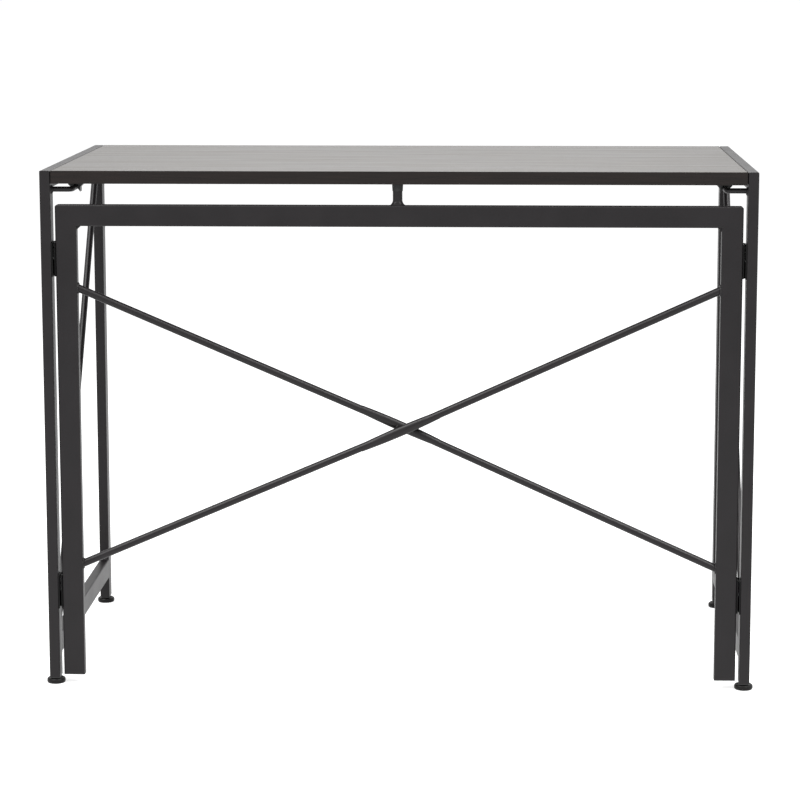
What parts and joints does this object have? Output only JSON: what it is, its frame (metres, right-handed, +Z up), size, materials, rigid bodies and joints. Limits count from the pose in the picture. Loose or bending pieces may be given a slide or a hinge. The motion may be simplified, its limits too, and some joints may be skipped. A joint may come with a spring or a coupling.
{
  "type": "folding desk",
  "caption": "Folding desk with a braced tubular back frame, hinged side frames that fold inwards, and a flat desktop that clips on top.",
  "frame": {"origin": "on the floor under the middle of the desk's bounding box", "axes": "+Z up, +X along the desk's length, -Y towards the braced back frame, +Y towards the sitter"},
  "size_m": [1.0116, 0.4994, 0.738],
  "materials": {
    "painted_steel": "fine matt powder coat, charcoal",
    "hinge_black": "satin black coat",
    "plug_plastic": "moulded black plastic",
    "cap_rubber": "soft black rubber",
    "foot_plastic": "moulded dark grey plastic",
    "edge_band": "dark brown printed edge band",
    "clip_plastic": "moulded black plastic",
    "board": "raw particle board",
    "laminate": "dark wood grain laminate with a satin sheen",
    "underside": "plain dark backing laminate",
    "screw_steel": "zinc plated"
  },
  "bodies": {
    "back_frame": {"back_left_post": "painted_steel", "back_right_post": "painted_steel", "back_top_rail": "painted_steel", "brace_rod_front": "painted_steel", "brace_rod_rear": "painted_steel", "centre_stub": "painted_steel", "stub_cap": "cap_rubber", "back_left_plug": "plug_plastic", "back_right_plug": "plug_plastic", "hinge_fixed_upper_left": "hinge_black", "hinge_fixed_lower_left": "hinge_black", "hinge_fixed_upper_right": "hinge_black", "hinge_fixed_lower_right": "hinge_black", "hinge_pins": "hinge_black", "hinge_screws_back": "hinge_black"},
    "left_side_frame": {"left_near_post": "painted_steel", "left_far_post": "painted_steel", "left_top_rail": "painted_steel", "left_lower_rail": "painted_steel", "left_diagonal": "painted_steel", "left_near_pin": "painted_steel", "left_far_pin": "painted_steel", "left_near_insert": "plug_plastic", "left_far_insert": "plug_plastic", "left_hinge_upper_leaf": "hinge_black", "left_hinge_lower_leaf": "hinge_black", "left_hinge_screws": "hinge_black"},
    "right_side_frame": {"right_near_post": "painted_steel", "right_far_post": "painted_steel", "right_top_rail": "painted_steel", "right_lower_rail": "painted_steel", "right_diagonal": "painted_steel", "right_near_pin": "painted_steel", "right_far_pin": "painted_steel", "right_near_insert": "plug_plastic", "right_far_insert": "plug_plastic", "right_hinge_upper_leaf": "hinge_black", "right_hinge_lower_leaf": "hinge_black", "right_hinge_screws": "hinge_black"},
    "desktop": {"desktop_core": "board", "desktop_top_skin": "laminate", "desktop_under_skin": "underside", "edge_band_near": "edge_band", "edge_band_far": "edge_band", "edge_band_left": "edge_band", "edge_band_right": "edge_band", "clip_near_left": "clip_plastic", "clip_far_left": "clip_plastic", "clip_near_right": "clip_plastic", "clip_far_right": "clip_plastic", "clip_screws": "screw_steel"},
    "glide_near_left": {"glide_near_left": "foot_plastic"},
    "glide_far_left": {"glide_far_left": "foot_plastic"},
    "glide_near_right": {"glide_near_right": "foot_plastic"},
    "glide_far_right": {"glide_far_right": "foot_plastic"}
  },
  "joints": [
    {"name": "desktop_lift", "type": "slide", "parent": "back_frame", "child": "desktop", "axis": [0, 0, 1], "range_m": [0, 0.6]},
    {"name": "left_fold", "type": "hinge", "parent": "back_frame", "child": "left_side_frame", "pos_m": [-0.4825, -0.228, 0.37425], "axis": [0, 0, -1], "range_deg": [0, 90]},
    {"name": "right_fold", "type": "hinge", "parent": "back_frame", "child": "right_side_frame", "pos_m": [0.4825, -0.228, 0.37425], "axis": [0, 0, 1], "range_deg": [0, 90]},
    {"name": "glide_near_left_spin", "type": "hinge", "parent": "left_side_frame", "child": "glide_near_left", "pos_m": [-0.4925, -0.2365, 0.004], "axis": [0, 0, 1], "continuous": true},
    {"name": "glide_far_left_spin", "type": "hinge", "parent": "left_side_frame", "child": "glide_far_left", "pos_m": [-0.4925, 0.2365, 0.004], "axis": [0, 0, 1], "continuous": true},
    {"name": "glide_near_right_spin", "type": "hinge", "parent": "right_side_frame", "child": "glide_near_right", "pos_m": [0.4925, -0.2365, 0.004], "axis": [0, 0, 1], "continuous": true},
    {"name": "glide_far_right_spin", "type": "hinge", "parent": "right_side_frame", "child": "glide_far_right", "pos_m": [0.4925, 0.2365, 0.004], "axis": [0, 0, 1], "continuous": true}
  ],
  "couplings": [
    {"joint": "left_fold", "follows": "desktop_lift", "rad_per_m": 2.618},
    {"joint": "right_fold", "follows": "desktop_lift", "rad_per_m": 2.618}
  ]
}
